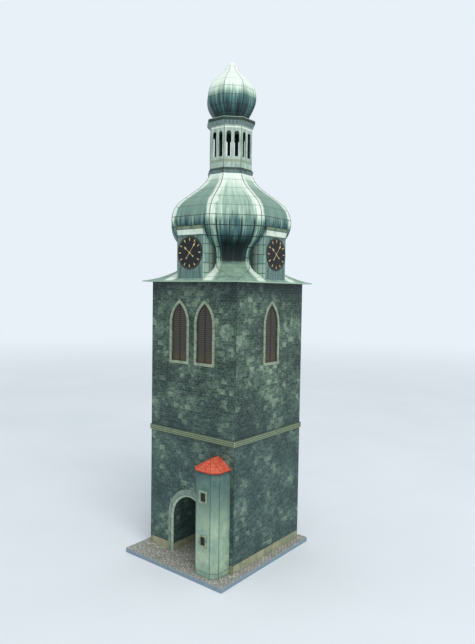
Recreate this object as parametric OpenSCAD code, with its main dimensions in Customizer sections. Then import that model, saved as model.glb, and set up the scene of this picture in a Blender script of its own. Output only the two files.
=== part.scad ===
// Card model of a town gate tower: a square stone shaft over an arched passage, a stair
// turret beside the arch, clock dormers on four sides, and an eight-sided onion dome that
// carries an open lantern and a smaller onion.
//
// Millimetres, +Z up. The origin is on the axis of the shaft, at the underside of the base
// board. The arch and the turret face -Y. All heights are measured from the cobbles.

/* [Base] */
// Width of the base board, left to right
base_w = 57.6; // [56:0.1:90]
// Distance from the axis to the front edge of the board
base_front = 36.9; // [36:0.1:60]
// Distance from the axis to the back edge of the board
base_back = 27.9; // [26:0.1:50]
// Thickness of the grey board
board_t = 1.7; // [1:0.1:4]
// Thickness of the cobble sheet that is glued on the board
sheet_t = 0.3; // [0.2:0.1:0.6]

/* [Shaft] */
// Outer width of the square shaft
tower_w = 50; // [42:1:60]
// Height of the lower storey, up to the middle of the string course
lower_h = 55.6; // [47:0.1:68]
// Height of the upper storey, from there to the eaves
upper_h = 67.6; // [57:0.1:82]
// Thickness of the card walls
wall_t = 0.8; // [0.6:0.1:1.2]
// Height of the string course
string_h = 2.4; // [1.5:0.1:4]
// Projection of the string course
string_out = 0.5; // [0.3:0.1:1]

/* [Passage] */
// Clear width of the passage
arch_w = 19.6; // [16:0.1:24]
// Height of the springing of the arch
arch_spring = 16.8; // [14:0.1:21]
// Rise of the arch above its springing
arch_rise = 10.7; // [10:0.1:13]
// Thickness of the card that lines the passage
lining_t = 0.6; // [0.4:0.1:1]
// Width of the stone surround of the arch
arch_border = 3.2; // [2:0.1:4]
// Thickness of the card surrounds of arch and windows
trim_t = 0.3; // [0.2:0.1:0.6]

/* [Windows] */
// Clear width of a bell window
window_w = 9.3; // [7.7:0.1:11.2]
// Distance of the window sills below the eaves
window_drop = 35.2; // [29.5:0.1:45]
// Height from the sill to the springing
window_spring = 16.8; // [12:0.1:20]
// Rise of the pointed head
window_rise = 9; // [7:0.1:11]
// Width of the stone surround of a window
window_border = 1.25; // [0.8:0.05:1.6]
// Distance of a window of a pair from the middle of the wall
window_shift = 7.5; // [6.5:0.1:9]
// Depth of the louvres behind the wall face
louvre_recess = 0.4; // [0.2:0.1:0.5]

/* [Stair turret] */
// Width of the turret
turret_w = 13.2; // [11:0.1:14.5]
// Projection of the turret from the wall
turret_d = 9.5; // [8:0.1:11.4]
// Size of the chamfered corners
turret_chamfer = 2.75; // [2:0.05:3.3]
// Height of the turret wall
turret_h = 44.4; // [37:0.1:52]
// Thickness of the turret wall
turret_t = 0.6; // [0.4:0.1:1]
// Overhang of the turret roof
turret_overhang = 0.6; // [0.3:0.1:1]
// Rise of the turret roof
turret_roof_h = 4.4; // [3.5:0.1:6]
// Length of the roof ridge, measured from the tower wall
turret_ridge = 5; // [4:0.1:6]
// Thickness of the edge of the turret roof
turret_edge = 0.4; // [0.3:0.1:0.8]
// Width of a turret window
slit_w = 2.8; // [2.2:0.1:3.4]
// Height of a turret window
slit_h = 3.8; // [3:0.1:5]
// Sill heights of the turret windows
slit_sills = [13.3, 31.9];
// Width of the surround of a turret window
slit_border = 0.8; // [0.5:0.1:1.1]

/* [Dome] */
// Projection of the eaves beyond the shaft
eaves_out = 3.4; // [2.5:0.1:4.5]
// Thickness of the plate under the eaves
eaves_t = 0.5; // [0.4:0.1:1]
// Thickness of the card of the gores
gore_t = 0.6; // [0.4:0.1:0.8]
// Height of the dome above the shaft, up to the lantern
dome_h = 49.3; // [46:0.1:56]
// Height of the widest point of the dome above the shaft
bulb_up = 27; // [24:0.1:30]
// Projection of the widest point beyond the shaft
bulb_out = 1.9; // [1:0.1:2.6]
// Radius of the bulging curve
bulb_r = 11.8; // [10:0.1:12.5]
// Distance of the narrow neck behind the wall face
neck_in = 7.4; // [6:0.1:8.4]
// Radius of the hollow curve at the neck
neck_r = 7; // [6:0.1:9]
// Height of the bend under the neck, where the corner gores turn out to the eaves
skirt_h = 8.8; // [8.4:0.1:9.6]
// Radius of the long curve from that bend to the corner of the eaves
corner_curve = 42; // [30:1:80]
// Inscribed radius of the top of the dome
crown_r = 9.8; // [8.5:0.1:10.2]
// Radius of the hollow curve at the top
crown_curve = 15.4; // [12:0.1:15.6]
// Steepness of the top edge, measured from upright
crown_lean = 20; // [14:1:24]

/* [Clock dormers] */
// Width of a dormer
dormer_w = 14.9; // [14.7:0.1:16.5]
// Projection of the dormer faces beyond the shaft
dormer_out = 1.7; // [1:0.1:2.2]
// Height of the top of a dormer face above the shaft
dormer_up = 20.4; // [19:0.1:22]
// Thickness of the dormer card
dormer_t = 0.6; // [0.4:0.1:1]
// Height of the moulding over a dormer
hood_h = 3.8; // [3:0.1:4.5]
// Outward flare of the moulding
hood_flare = 0.8; // [0.4:0.1:1.2]
// Diameter of a clock dial
dial_d = 14.3; // [12:0.1:14.6]
// Height of the dial centre above the shaft
dial_up = 12.6; // [11.5:0.1:13]
// Thickness of a clock dial
dial_t = 0.3; // [0.2:0.1:0.6]

/* [Lantern] */
// Radius of the lantern base, over its corners
base_ring_r = 11.1; // [10.8:0.1:12.5]
// Height of the sloping underside of the lantern base
base_slope = 1.5; // [1:0.1:2]
// Height of its upper slope, from the rim in to the lantern wall
base_ring_h = 1.2; // [0.8:0.1:2]
// Radius of the lantern wall, over its corners
lantern_r = 10.2; // [9.4:0.1:10.6]
// Height of the lantern wall
lantern_h = 19.2; // [18:0.1:23]
// Thickness of the lantern wall
lantern_t = 0.6; // [0.4:0.1:1]
// Width of a lantern opening
light_w = 2.2; // [1.8:0.05:2.6]
// Width of the post between the two openings of a face
light_post = 1.4; // [1:0.1:1.8]
// Height of an opening, up to its round head
light_h = 11.3; // [9:0.1:12.4]
// Height of the parapet below the openings
parapet_h = 4.9; // [4:0.1:5.5]
// Radius of the cornice, over its corners
cornice_r = 11.6; // [11:0.1:12.6]
// Height of the sloping underside of the cornice
cornice_slope = 1.4; // [0.8:0.1:2]
// Height of the upright edge of the cornice
cornice_h = 1.6; // [1:0.1:2.4]

/* [Upper onion] */
// Radius of the foot, over the ribs
onion_foot = 7.8; // [7:0.1:8.6]
// Height at which the straight foot meets the bulge
onion_foot_h = 2.6; // [2:0.1:3.4]
// Radius at the widest point, over the ribs
onion_r = 11.9; // [11:0.1:12.6]
// Radius of the bulging curve
onion_bulge = 11.1; // [10.6:0.1:11.9]
// Height of the widest point above the cornice
onion_up = 10.3; // [9:0.1:11]
// Height of the shoulder where the curve turns straight
onion_shoulder = 18.6; // [17.6:0.1:19.4]
// Radius at the foot of the spike, over the ribs
spike_r = 3.8; // [3:0.1:4.5]
// Height of the foot of the spike
spike_up = 22.6; // [21.6:0.1:24]
// Radius of the blunt tip, over the ribs
tip_r = 1.5; // [1:0.1:2]
// Height of the onion
onion_h = 27; // [25:0.1:30]
// Thickness of the card of the onion
onion_t = 0.6; // [0.4:0.1:1]

/* [Hidden] */
$fn = 96;

// Overlap that a cut takes beyond the faces that it opens
cut = 1;

// The shaft and its storeys
ground = board_t + sheet_t;
half_w = tower_w / 2;
shaft_h = lower_h + upper_h;
inner_w = tower_w - 2 * wall_t;
pier_w = (tower_w - arch_w) / 2;
pier_x = (arch_w + pier_w) / 2;

// The dome: the eaves, the three curves of its section, and its top
eaves_top = shaft_h + eaves_t;
eaves_r = half_w + eaves_out;
dome_top = shaft_h + dome_h;
bulb_c = [half_w + bulb_out - bulb_r, shaft_h + bulb_up];
crown_c = [crown_r, dome_top] + crown_curve * [cos(crown_lean), sin(crown_lean)];
neck_x = half_w - neck_in + neck_r;
neck_c = [neck_x, bulb_c.y - sqrt(pow(bulb_r + neck_r, 2) - pow(neck_x - bulb_c.x, 2))];
corner_r = eaves_r * sqrt(2);
bend_z = eaves_top + skirt_h;
bend = [hollow_x(neck_c, neck_r, bend_z), bend_z];
corner_point = [corner_r, eaves_top];
corner_rise = sqrt(pow(corner_curve, 2) - pow(norm(bend - corner_point) / 2, 2));
corner_c = (bend + corner_point) / 2 + corner_rise * direction(angle_of(bend - corner_point) - 90);

// The dormers
dormer_face = half_w + dormer_out;
dormer_top = shaft_h + dormer_up;
hood_top = dormer_top + hood_h;

// The lantern and the upper onion
lantern_z = dome_top + base_slope + base_ring_h;
light_z = lantern_z + parapet_h;
cornice_z = lantern_z + lantern_h;
onion_z = cornice_z + cornice_slope + cornice_h;
onion_steps = 72;
lantern_in = lantern_r * cos(22.5);
light_shift = (light_w + light_post) / 2;

// The turret stands at the edge of the arch
turret_x = arch_w / 2 + turret_w / 2;
turret_front = half_w + turret_d;

stone = "#6f8076";
stone_trim = "#b9b79c";
plaster = "#a9bfa6";
copper = "#bfdcc6";
louvre_brown = "#4a3328";

// Everything above the cobbles, turned so that side 0 is the front, 1 the right-hand side
module above(turns = 0) {
    translate([0, 0, ground])
        rotate([0, 0, 90 * turns])
            children();
}

// A flat outline drawn in x and z, as a sheet whose outer face is at depth y = -face
module sheet(face, thickness) {
    translate([0, -face, 0])
        rotate([90, 0, 0])
            translate([0, 0, -thickness])
                linear_extrude(thickness)
                    children();
}

// Opening with a pointed head, from its sill at y = 0, larger by grow at the sides and
// head and by sill_grow at the sill. Both arcs keep their centres on the springing.
module pointed_opening(w, spring, rise, grow = 0, sill_grow = 0) {
    arc_r = (pow(w / 2, 2) + pow(rise, 2)) / w;
    arc_x = arc_r - w / 2;
    translate([-w / 2 - grow, -sill_grow])
        square([w + 2 * grow, spring + sill_grow]);
    intersection() {
        translate([arc_x, spring])
            circle(arc_r + grow);
        translate([-arc_x, spring])
            circle(arc_r + grow);
        translate([-w, spring])
            square([2 * w, 2 * rise + grow]);
    }
}

module arch_opening(grow = 0, sill_grow = 0) {
    pointed_opening(arch_w, arch_spring, arch_rise, grow, sill_grow);
}

module bell_window(grow = 0) {
    translate([0, shaft_h - window_drop])
        pointed_opening(window_w, window_spring, window_rise, grow, grow);
}

// A pair of windows on the front and back, one window on each side
module window_row(turns) {
    shifts = turns % 2 == 0 ? [-window_shift, window_shift] : [0];
    for (x = shifts)
        translate([x, 0])
            children();
}

// ---- Base ----

module base_layer(z, thickness) {
    translate([-base_w / 2, -base_front, z])
        cube([base_w, base_front + base_back, thickness]);
}

module base_board() {
    color("#8a94a0")
        base_layer(0, board_t);
}

module cobble_sheet() {
    color("#7b7468")
        base_layer(board_t, sheet_t);
}

// ---- Shaft ----

// Pier beside the passage, on the front (turns = 0) or the back (2)
module pier(turns, side) {
    color(stone)
        above(turns)
            sheet(half_w, wall_t)
                translate([side * pier_x - pier_w / 2, 0])
                    square([pier_w, arch_spring]);
}

module arch_wall(turns) {
    color(stone)
        above(turns)
            sheet(half_w, wall_t)
                difference() {
                    translate([-half_w, arch_spring])
                        square([tower_w, lower_h - arch_spring]);
                    arch_opening(0, cut);
                }
}

module lower_wall(turns) {
    color(stone)
        above(turns)
            sheet(half_w, wall_t)
                translate([-inner_w / 2, 0])
                    square([inner_w, lower_h]);
}

// The front and back walls run to the corners, and the side walls stand between them
module upper_wall(turns) {
    wall_w = turns % 2 == 0 ? tower_w : inner_w;
    color(stone)
        above(turns)
            sheet(half_w, wall_t)
                difference() {
                    translate([-wall_w / 2, lower_h])
                        square([wall_w, upper_h]);
                    window_row(turns)
                        bell_window();
                }
}

module passage_side(side) {
    color(stone)
        above()
            translate([side * (arch_w + lining_t) / 2 - lining_t / 2, -inner_w / 2, 0])
                cube([lining_t, inner_w, arch_spring]);
}

module passage_vault() {
    color(stone)
        above()
            sheet(inner_w / 2, inner_w)
                difference() {
                    intersection() {
                        arch_opening(lining_t);
                        translate([-half_w, arch_spring])
                            square([tower_w, lower_h]);
                    }
                    arch_opening();
                }
}

// Flat stone surround of the arch. On the front its right side stops at the turret.
module arch_surround(turns) {
    right_end = turns == 0 ? arch_w / 2 : half_w;
    color(stone_trim)
        above(turns)
            sheet(half_w + trim_t, trim_t)
                difference() {
                    arch_opening(arch_border);
                    arch_opening(0, cut);
                    translate([right_end, -cut])
                        square([half_w, turret_h]);
                }
}

module string_course() {
    outer_w = tower_w + 2 * string_out;
    color("#7d8468")
        above()
            translate([0, 0, lower_h - string_h / 2])
                linear_extrude(string_h)
                    difference() {
                        square(outer_w, center = true);
                        square(tower_w, center = true);
                    }
}

module window_surrounds() {
    color(stone_trim)
        for (turns = [0:3])
            above(turns)
                sheet(half_w + trim_t, trim_t)
                    window_row(turns)
                        difference() {
                            bell_window(window_border);
                            bell_window();
                        }
}

module louvre_panels() {
    color(louvre_brown)
        for (turns = [0:3])
            above(turns)
                sheet(half_w - louvre_recess, wall_t - louvre_recess)
                    window_row(turns)
                        bell_window();
}

// ---- Stair turret ----

// Outline of the turret in plan, seen from above and against the tower wall, smaller by
// inset. A chamfer that moves in by inset is shorter by (2 - sqrt(2)) * inset.
function turret_outline(inset) =
    let (
        side = turret_w / 2 - inset,
        front = turret_front - inset,
        corner = turret_chamfer - (2 - sqrt(2)) * inset
    )
    [
        [turret_x - side, -half_w],
        [turret_x - side, -front + corner],
        [turret_x - side + corner, -front],
        [turret_x + side - corner, -front],
        [turret_x + side, -front + corner],
        [turret_x + side, -half_w]
    ];

module slits(grow = 0) {
    for (sill = slit_sills)
        translate([turret_x - slit_w / 2 - grow, sill - grow])
            square([slit_w + 2 * grow, slit_h + 2 * grow]);
}

module turret_wall() {
    color(plaster)
        above()
            difference() {
                linear_extrude(turret_h)
                    difference() {
                        polygon(turret_outline(0));
                        polygon(turret_outline(turret_t));
                        translate([turret_x - turret_w / 2 + turret_t, -half_w - cut])
                            square([turret_w - 2 * turret_t, 2 * cut]);
                    }
                sheet(turret_front + cut, turret_t + 2 * cut)
                    slits();
            }
}

// Hipped roof over the overhanging outline, with a short ridge that meets the tower wall
module turret_roof() {
    eaves = turret_outline(-turret_overhang);
    ridge_z = turret_h + turret_edge + turret_roof_h;
    corners = [
        for (z = [turret_h, turret_h + turret_edge])
            for (p = eaves) [p.x, p.y, z],
        [turret_x, -half_w - turret_ridge, ridge_z],
        [turret_x, -half_w, ridge_z]
    ];
    faces = [
        [0, 1, 2, 3, 4, 5],
        for (i = [0:5]) [i, i + 6, (i + 1) % 6 + 6, (i + 1) % 6],
        [6, 13, 12, 7], [7, 12, 8], [8, 12, 9], [9, 12, 10], [10, 12, 13, 11], [11, 13, 6]
    ];
    color("#c8502d")
        above()
            polyhedron(corners, faces);
}

module turret_window_surrounds() {
    color(stone_trim)
        above()
            sheet(turret_front + trim_t, trim_t)
                difference() {
                    slits(slit_border);
                    slits();
                }
}

module turret_window_panels() {
    color("#15191a")
        above()
            sheet(turret_front - turret_t / 2, turret_t / 2)
                slits();
}

// ---- Dome ----

module eaves_plate() {
    color(copper)
        above()
            translate([-eaves_r, -eaves_r, shaft_h])
                cube([2 * eaves_r, 2 * eaves_r, eaves_t]);
}

function direction(angle) = [cos(angle), sin(angle)];
function angle_of(v) = atan2(v.y, v.x);

// Radius at which a circle on the right of the section crosses height z
function hollow_x(centre, r, z) = centre.x - sqrt(pow(r, 2) - pow(centre.y - z, 2));

// Foot of the section over a side: a straight slope from the eaves that touches the neck
function side_foot(inset) =
    let (
        to_neck = neck_c - [eaves_r, eaves_top],
        slope = angle_of(to_neck) + asin(neck_r / norm(to_neck))
    )
    [
        [eaves_r - inset / sin(180 - slope), eaves_top],
        neck_c + (neck_r + inset) * direction(slope + 90)
    ];

// Foot of the section over a corner: the ends of its long hollow curve
function corner_foot(inset) = [
    [hollow_x(corner_c, corner_curve + inset, eaves_top), eaves_top],
    [hollow_x(corner_c, corner_curve + inset, bend_z), bend_z]
];

module disc_between(centre, r, low, high) {
    intersection() {
        translate(centre)
            circle(r);
        translate([0, low])
            square([2 * corner_r, high - low]);
    }
}

// Half section of the dome in radius and height, smaller by inset, for a face over a side
// of the shaft or over a corner. The foot runs into the hollow neck, the neck into the
// bulge, and the bulge by a straight line into the hollow crown.
module dome_half_section(over_corner, inset) {
    neck_to_bulb = bulb_c + (bulb_r - inset) * direction(angle_of(neck_c - bulb_c));
    // The straight line touches both circles and crosses between them
    to_crown = crown_c - bulb_c;
    line_angle = angle_of(to_crown) - acos((bulb_r + crown_curve) / norm(to_crown));
    bulb_end = bulb_c + (bulb_r - inset) * direction(line_angle);
    crown_start = crown_c - (crown_curve + inset) * direction(line_angle);
    crown_end = [hollow_x(crown_c, crown_curve + inset, dome_top), dome_top];
    foot = over_corner ? corner_foot(inset) : side_foot(inset);
    difference() {
        union() {
            polygon([
                [0, eaves_top], foot[0], foot[1], neck_to_bulb,
                bulb_end, crown_start, crown_end, [0, dome_top]
            ]);
            disc_between(bulb_c, bulb_r - inset, bend_z, dome_top);
        }
        disc_between(neck_c, neck_r + inset, over_corner ? bend_z : eaves_top, dome_top);
        disc_between(crown_c, crown_curve + inset, bulb_c.y, dome_top + cut);
        if (over_corner)
            disc_between(corner_c, corner_curve + inset, eaves_top - cut, bend_z);
    }
}

// The half section carried straight across, facing +X after the given turn
module dome_slab(over_corner, inset, turn) {
    rotate([0, 0, turn])
        rotate([90, 0, 0])
            linear_extrude(4 * eaves_r, center = true)
                dome_half_section(over_corner, inset);
}

// Curved sheet that faces one side of the shaft, cut at its ribs by the diagonal faces
module side_gore(turn) {
    color(copper)
        above()
            intersection() {
                difference() {
                    dome_slab(false, 0, turn);
                    dome_slab(false, gore_t, turn);
                }
                dome_slab(true, 0, turn - 45);
                dome_slab(true, 0, turn + 45);
                rotate([0, 0, turn - 45])
                    translate([0, 0, eaves_top])
                        cube([2 * eaves_r, 2 * eaves_r, dome_h]);
            }
}

// Curved sheet over a corner, between the inner faces of the two side gores beside it.
// It ends in a point at the corner of the eaves.
module corner_gore(turn) {
    color(copper)
        above()
            intersection() {
                difference() {
                    dome_slab(true, 0, turn);
                    dome_slab(true, gore_t, turn);
                }
                dome_slab(false, gore_t, turn - 45);
                dome_slab(false, gore_t, turn + 45);
            }
}

// ---- Clock dormers ----

// Outline in radius and height, carried across a width and turned to face the front
module across(width) {
    rotate([90, 0, -90])
        linear_extrude(width, center = true)
            children();
}

// Face and two cheeks that run back to the dome and stand on its foot
module dormer(turns) {
    color("#41594f")
        above(turns)
            difference() {
                across(dormer_w)
                    difference() {
                        translate([0, eaves_top])
                            square([dormer_face, dormer_top - eaves_top]);
                        dome_half_section(false, 0);
                    }
                translate([-dormer_w / 2 + dormer_t, -dormer_face + dormer_t, eaves_top - cut])
                    cube([dormer_w - 2 * dormer_t, dormer_face, dormer_top]);
            }
}

// Moulding that flares upwards over a dormer and dies into the dome
module hood(turns) {
    top_w = dormer_w + 2 * hood_flare;
    above(turns)
        intersection() {
            sheet(dormer_face + hood_flare, dormer_face + hood_flare)
                polygon([
                    [-dormer_w / 2, dormer_top], [dormer_w / 2, dormer_top],
                    [top_w / 2, hood_top], [-top_w / 2, hood_top]
                ]);
            across(top_w)
                difference() {
                    polygon([
                        [0, dormer_top], [dormer_face, dormer_top],
                        [dormer_face + hood_flare, hood_top], [0, hood_top]
                    ]);
                    dome_half_section(false, 0);
                }
        }
}

module dormer_hoods() {
    color("#9fbf9f")
        for (turns = [0:3])
            hood(turns);
}

module clock_dials() {
    color("#14161c")
        for (turns = [0:3])
            above(turns)
                sheet(dormer_face + dial_t, dial_t)
                    translate([0, shaft_h + dial_up])
                        circle(d = dial_d);
}

// ---- Lantern ----

// Eight-sided prism or cone with flats to the four sides
module octagon(h, r1, r2) {
    rotate([0, 0, 22.5])
        cylinder(h = h, r1 = r1, r2 = r2, $fn = 8);
}

module lantern_base() {
    color("#37453f")
        above()
            translate([0, 0, dome_top]) {
                octagon(base_slope, crown_r / cos(22.5), base_ring_r);
                translate([0, 0, base_slope])
                    octagon(base_ring_h, base_ring_r, lantern_r);
            }
}

module light() {
    translate([-light_w / 2, 0])
        square([light_w, light_h - light_w / 2]);
    translate([0, light_h - light_w / 2])
        circle(d = light_w);
}

// Two round-headed openings in each of the eight faces
module lantern_wall() {
    inner_r = lantern_r - lantern_t / cos(22.5);
    color("#9fb0a6")
        above()
            difference() {
                translate([0, 0, lantern_z])
                    octagon(lantern_h, lantern_r, lantern_r);
                translate([0, 0, lantern_z - cut])
                    octagon(lantern_h + 2 * cut, inner_r, inner_r);
                for (turn = [0:45:315])
                    rotate([0, 0, turn])
                        sheet(lantern_in + cut, lantern_t + 2 * cut)
                            for (x = [-light_shift, light_shift])
                                translate([x, light_z])
                                    light();
            }
}

module lantern_cornice() {
    color(copper)
        above()
            translate([0, 0, cornice_z]) {
                octagon(cornice_slope, lantern_r, cornice_r);
                translate([0, 0, cornice_slope])
                    octagon(cornice_h, cornice_r, cornice_r);
            }
}

// ---- Upper onion ----

// Half section of the onion through its ribs: a straight foot, a bulge, a straight
// shoulder and a blunt spike, smaller by inset
module onion_half_section(inset) {
    bulge_c = [onion_r - onion_bulge, onion_up];
    bulge_r = onion_bulge - inset;
    foot_x = bulge_c.x + sqrt(pow(bulge_r, 2) - pow(onion_up - onion_foot_h, 2));
    shoulder_x = bulge_c.x + sqrt(pow(bulge_r, 2) - pow(onion_shoulder - onion_up, 2));
    polygon([
        [0, 0], [onion_foot - inset, 0], [foot_x, onion_foot_h], [shoulder_x, onion_shoulder],
        [spike_r - inset, spike_up], [tip_r - inset, onion_h], [0, onion_h]
    ]);
    intersection() {
        translate(bulge_c)
            circle(bulge_r, $fn = onion_steps);
        translate([0, onion_foot_h])
            square([onion_r, onion_shoulder - onion_foot_h]);
    }
}

module upper_onion() {
    color(copper)
        above()
            translate([0, 0, onion_z])
                rotate([0, 0, 22.5])
                    rotate_extrude($fn = 8)
                        difference() {
                            onion_half_section(0);
                            onion_half_section(onion_t);
                        }
}

base_board();
cobble_sheet();
pier(0, -1);  // front_pier_left
pier(0, 1);  // front_pier_right
arch_wall(0);  // front_arch_wall
pier(2, 1);  // back_pier_left
pier(2, -1);  // back_pier_right
arch_wall(2);  // back_arch_wall
lower_wall(3);  // lower_wall_left
lower_wall(1);  // lower_wall_right
passage_side(-1);  // passage_side_left
passage_side(1);  // passage_side_right
passage_vault();
arch_surround(0);  // arch_surround_front
arch_surround(2);  // arch_surround_back
string_course();
upper_wall(0);  // upper_wall_front
upper_wall(1);  // upper_wall_right
upper_wall(2);  // upper_wall_back
upper_wall(3);  // upper_wall_left
window_surrounds();
louvre_panels();
turret_wall();
turret_roof();
turret_window_surrounds();
turret_window_panels();
eaves_plate();
side_gore(-90);  // gore_front
corner_gore(-45);  // gore_front_right
side_gore(0);  // gore_right
corner_gore(45);  // gore_back_right
side_gore(90);  // gore_back
corner_gore(135);  // gore_back_left
side_gore(180);  // gore_left
corner_gore(225);  // gore_front_left
dormer(0);  // dormer_front
dormer(1);  // dormer_right
dormer(2);  // dormer_back
dormer(3);  // dormer_left
dormer_hoods();
clock_dials();
lantern_base();
lantern_wall();
lantern_cornice();
upper_onion();
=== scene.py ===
"""Card model of a town gate tower: the prints on its card, its clock hands and its ribs."""

import math

import bpy
import numpy as np
from mathutils import Matrix, Vector


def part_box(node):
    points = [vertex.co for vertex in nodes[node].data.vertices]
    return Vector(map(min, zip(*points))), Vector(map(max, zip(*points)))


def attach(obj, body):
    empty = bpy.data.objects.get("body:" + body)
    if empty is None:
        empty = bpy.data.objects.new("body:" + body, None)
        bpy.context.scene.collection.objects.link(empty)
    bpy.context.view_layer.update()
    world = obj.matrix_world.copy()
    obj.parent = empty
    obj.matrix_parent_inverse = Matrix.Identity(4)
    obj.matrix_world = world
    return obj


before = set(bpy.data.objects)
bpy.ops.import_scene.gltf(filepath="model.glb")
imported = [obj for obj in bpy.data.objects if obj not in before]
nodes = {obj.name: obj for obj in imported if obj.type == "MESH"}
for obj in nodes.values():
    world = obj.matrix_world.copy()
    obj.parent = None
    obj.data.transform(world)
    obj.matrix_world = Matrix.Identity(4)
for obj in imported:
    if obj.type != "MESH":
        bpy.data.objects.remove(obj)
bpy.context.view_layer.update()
scene = bpy.context.scene


# ---- Base board ----
# The model stands on grey bookbinder's board. It is cut with a knife, so its edge shows
# pressed layers.

class Print:
    """The nodes of one finish. Lengths inside it are millimetres above the cobbles."""

    def __init__(self, tree):
        self.tree = tree

    def join(self, node, inputs):
        """Joins a node's inputs to outputs, or sets them to values."""
        for name, value in (inputs or {}).items():
            if isinstance(value, bpy.types.NodeSocket):
                self.tree.links.new(value, node.inputs[name])
            else:
                node.inputs[name].default_value = value
        return node

    def add(self, kind, inputs=None, **settings):
        """Places a shader node, sets its settings, and joins its inputs."""
        node = self.tree.nodes.new("ShaderNode" + kind)
        for name, value in settings.items():
            setattr(node, name, value)
        return self.join(node, inputs)

    def calc(self, operation, a, b=0.0, c=0.0):
        """One arithmetic step on up to three values."""
        return self.add("Math", {0: a, 1: b, 2: c}, operation=operation).outputs[0]

    def fade(self, value, start, end, first=0.0, last=1.0):
        """Goes smoothly from first to last while the value goes from start to end."""
        settings = {"Value": value, "From Min": start, "From Max": end,
                    "To Min": first, "To Max": last}
        return self.add("MapRange", settings, interpolation_type="SMOOTHSTEP").outputs[0]

    def line(self, value, width, at=0.0):
        """1 on a line of that width where the value is at, and 0 beside it."""
        away = self.calc("ABSOLUTE", self.calc("SUBTRACT", value, at))
        return self.fade(away, width * 0.3, width * 0.75, 1.0, 0.0)

    def far(self, a, b):
        """Distance from the middle: the root of a^2 + b^2."""
        squares = self.calc("ADD", self.calc("POWER", a, 2.0), self.calc("POWER", b, 2.0))
        return self.calc("POWER", squares, 0.5)

    def mix(self, mask, a, b):
        """Value a where the mask is 0 and b where it is 1."""
        return self.add("Mix", {0: mask, 2: a, 3: b}, data_type="FLOAT").outputs[0]

    def stretch(self, vector, *by):
        """A vector with each of its three parts multiplied."""
        return self.add("VectorMath", {0: vector, 1: by}, operation="MULTIPLY").outputs[0]

    def blend(self, mask, a, b, kind="MIX"):
        """Colour a where the mask is 0 and b where it is 1."""
        node = self.add("Mix", {0: mask, 6: a, 7: b}, data_type="RGBA", blend_type=kind)
        return node.outputs[2]

    def mottle(self, vector, scale, detail=3.0, rough=0.6):
        """Cloudy value, mostly from 0.3 to 0.7, with that many clouds in a millimetre."""
        settings = {"Vector": vector, "Scale": scale, "Detail": detail, "Roughness": rough}
        return self.add("TexNoise", settings).outputs["Fac"]

    def shades(self, value, stops):
        """Colours along a value, from pairs of place and colour."""
        node = self.add("ValToRGB", {"Fac": value})
        for i, (place, colour) in enumerate(stops):
            if i < 2:
                stop = node.color_ramp.elements[i]
                stop.position = place
            else:
                stop = node.color_ramp.elements.new(place)
            stop.color = colour
        return node.outputs["Color"]

    def place(self, x=0.0, y=0.0, z=0.0):
        """A vector from three values."""
        return self.add("CombineXYZ", {0: x, 1: y, 2: z}).outputs[0]

    def group(self, tree, inputs=None):
        """Places a shared effect."""
        node = self.tree.nodes.new("ShaderNodeGroup")
        node.node_tree = tree
        return self.join(node, inputs)


def ink(code):
    """Colour of a printing ink from its sRGB hex code: each part is brought to linear light
    by ((c + 0.055) / 1.055) ^ 2.4, or c / 12.92 where it is very dark."""
    parts = [int(code[i:i + 2], 16) / 255 for i in (0, 2, 4)]
    return [c / 12.92 if c < 0.04 else ((c + 0.055) / 1.055) ** 2.4 for c in parts] + [1.0]


def grey(level):
    """A value written as a colour."""
    return (level, level, level, 1.0)


def effect(name, inputs, outputs):
    """An empty shared effect with named inputs and outputs, and the Print that fills it."""
    tree = bpy.data.node_groups.new(name, "ShaderNodeTree")
    for label, kind in inputs:
        tree.interface.new_socket(label, in_out="INPUT", socket_type="NodeSocket" + kind)
    for label, kind in outputs:
        tree.interface.new_socket(label, in_out="OUTPUT", socket_type="NodeSocket" + kind)
    taken = tree.nodes.new("NodeGroupInput")
    given = tree.nodes.new("NodeGroupOutput")
    return tree, Print(tree), taken, given


# Where a point of the model is: millimetres from the axis and above the cobbles, and the
# distance across an upright face, which is x on the front and back and y on the sides.
# Reach is the larger of the distances along x and y, and Corner the smaller. Print is the
# place on a wall's sheet; the side walls are set apart, so they do not repeat the front.
paving_top = 2.0
where, p, taken, given = effect("place on model", [], [
    ("Point", "Vector"), ("X", "Float"), ("Y", "Float"), ("Height", "Float"),
    ("Across", "Float"), ("Reach", "Float"), ("Corner", "Float"), ("Print", "Vector")])
coordinates = p.add("TexCoord")
metres = p.add("SeparateXYZ", {0: coordinates.outputs["Object"]})
facing = p.add("SeparateXYZ", {0: coordinates.outputs["Normal"]})
x = p.calc("MULTIPLY", metres.outputs[0], 1000.0)
y = p.calc("MULTIPLY", metres.outputs[1], 1000.0)
height = p.calc("MULTIPLY_ADD", metres.outputs[2], 1000.0, -paving_top)
sideways = p.calc("GREATER_THAN", p.calc("ABSOLUTE", facing.outputs[0]), 0.5)
across = p.mix(sideways, x, y)
away_x = p.calc("ABSOLUTE", x)
away_y = p.calc("ABSOLUTE", y)
apart = 61.0
shift = p.calc("MULTIPLY_ADD", sideways, apart, across)
p.tree.links.new(p.place(x, y, height), given.inputs["Point"])
p.tree.links.new(x, given.inputs["X"])
p.tree.links.new(y, given.inputs["Y"])
p.tree.links.new(height, given.inputs["Height"])
p.tree.links.new(across, given.inputs["Across"])
p.tree.links.new(p.calc("MAXIMUM", away_x, away_y), given.inputs["Reach"])
p.tree.links.new(p.calc("MINIMUM", away_x, away_y), given.inputs["Corner"])
p.tree.links.new(p.place(shift, height), given.inputs["Print"])

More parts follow.
